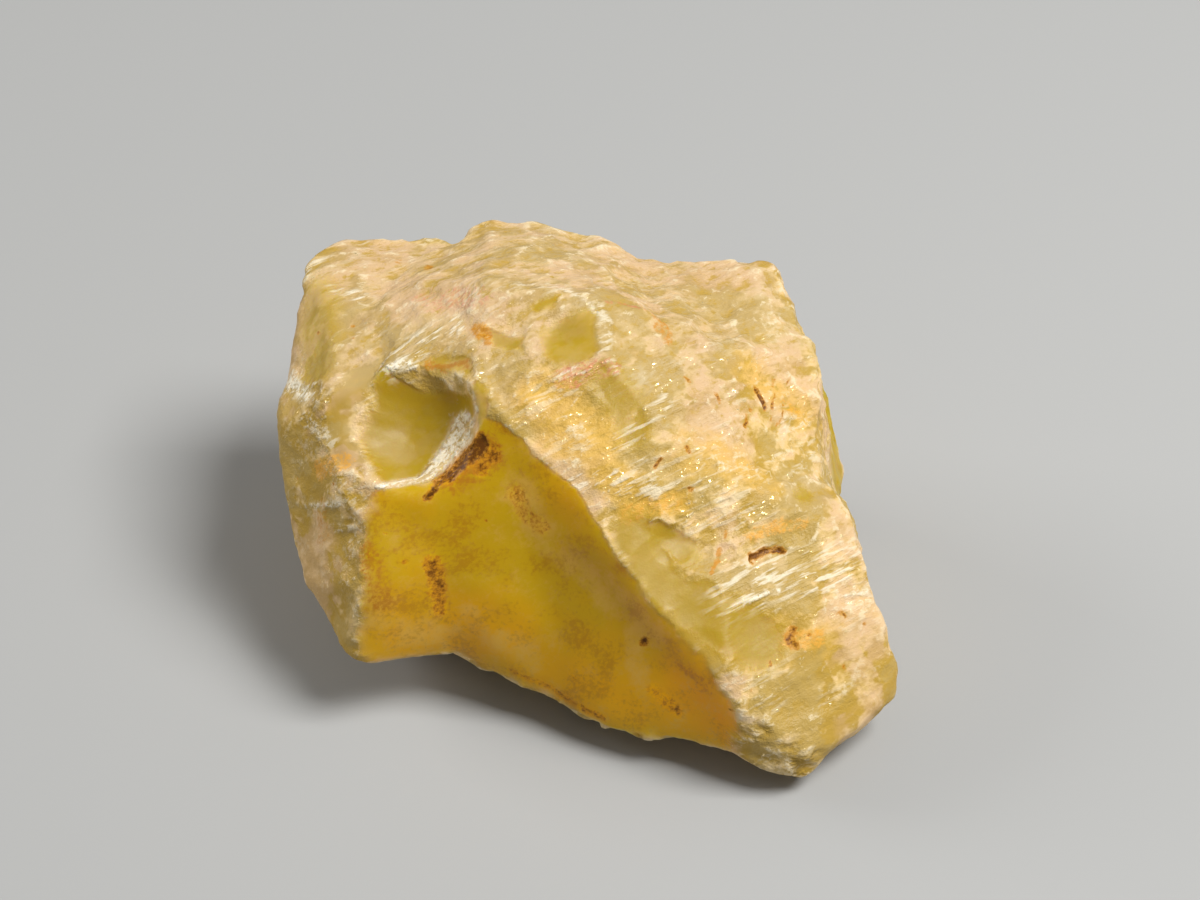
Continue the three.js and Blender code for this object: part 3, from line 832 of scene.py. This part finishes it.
    shader = addNode(tree, "BsdfPrincipled", {
        "Base Color": skin,
        "Metallic": times(glintHighlight, look["glintMetal"]),
        "Roughness": dull,
        "IOR": look["ior"],
        "Specular IOR Level": look["specular"],
        "Transmission Weight": through,
        "Subsurface Weight": milky,
        "Subsurface Radius": look["travelByColour"],
        "Subsurface Scale": travel,
        "Normal": bump,
    })
    inside = addNode(tree, "VolumeAbsorption", {"Color": look["absorbs"], "Density": look["absorption"]})
    addNode(tree, "OutputMaterial", {"Surface": shader.outputs[0], "Volume": inside.outputs[0]})
    return material


mesh = bpy.data.meshes.new("danburite_stone")
mesh.from_pydata(points * mm, [], quads.tolist())
for name, values in masks.items():
    mesh.attributes.new(name, "FLOAT", "POINT").data.foreach_set("value", values.astype(np.float32))
mesh.materials.append(waxyDanburite())
mesh.shade_smooth()
stone = bpy.data.objects.new("danburite_stone", mesh)
bpy.context.scene.collection.objects.link(stone)

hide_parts("danburite")
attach(stone, "root")
print("stone made")

# the studio: lengths in millimetres, powers in watts
studio = {
    "lens": 80,
    "elevation": 42,                      # degrees that the camera looks down
    "distance": 113.3,
    "target": (0.6, 1.85, 7.0),
    "middle": (0, 0, 7),                  # where the lamps point
    "key": (0.91, 120, (135, -30, 240)),  # power, width and place of each lamp
    "fill": (0.35, 150, (-250, 100, 140)),
    "daylight": 0.2,
    "nearest": 5,                         # the camera sees nothing nearer
    "paper": (0.40, 0.40, 0.39, 1),
    "paperDullness": 0.9,
}

floorMesh = bpy.data.meshes.new("paleFloor")
floorMesh.from_pydata([(-1, -1, 0), (1, -1, 0), (1, 1, 0), (-1, 1, 0)], [], [(0, 1, 2, 3)])
floorPaint = bpy.data.materials.new("palePaper")
floorPaint.use_nodes = True
paper = floorPaint.node_tree.nodes["Principled BSDF"]
paper.inputs["Base Color"].default_value = studio["paper"]
paper.inputs["Roughness"].default_value = studio["paperDullness"]
floorMesh.materials.append(floorPaint)
floor = bpy.data.objects.new("paleFloor", floorMesh)
bpy.context.scene.collection.objects.link(floor)


def lookFrom(obj, place, target):
    # stands the object at the place and turns its -Z to the target, then links it in
    obj.location = place
    obj.rotation_mode = "QUATERNION"
    obj.rotation_quaternion = (target - place).to_track_quat("-Z", "Y")
    bpy.context.scene.collection.objects.link(obj)


cameraData = bpy.data.cameras.new("studioCamera")
cameraData.lens = studio["lens"]
cameraData.clip_start = studio["nearest"] * mm
camera = bpy.data.objects.new("studioCamera", cameraData)
target = Vector(studio["target"]) * mm
tilt = math.radians(studio["elevation"])
backwards = Vector((0, -math.cos(tilt), math.sin(tilt)))
lookFrom(camera, target + backwards * studio["distance"] * mm, target)
bpy.context.scene.camera = camera

for name in ("key", "fill"):
    power, width, place = studio[name]
    lampData = bpy.data.lights.new(name, "AREA")
    lampData.energy = power
    lampData.size = width * mm
    lamp = bpy.data.objects.new(name, lampData)
    lookFrom(lamp, Vector(place) * mm, Vector(studio["middle"]) * mm)
world = bpy.data.worlds.new("studio")
world.use_nodes = True
background = world.node_tree.nodes["Background"]
background.inputs["Color"].default_value = (1, 1, 1, 1)
background.inputs["Strength"].default_value = studio["daylight"]
bpy.context.scene.world = world
bpy.context.scene.view_settings.view_transform = "Standard"

print("studio made")
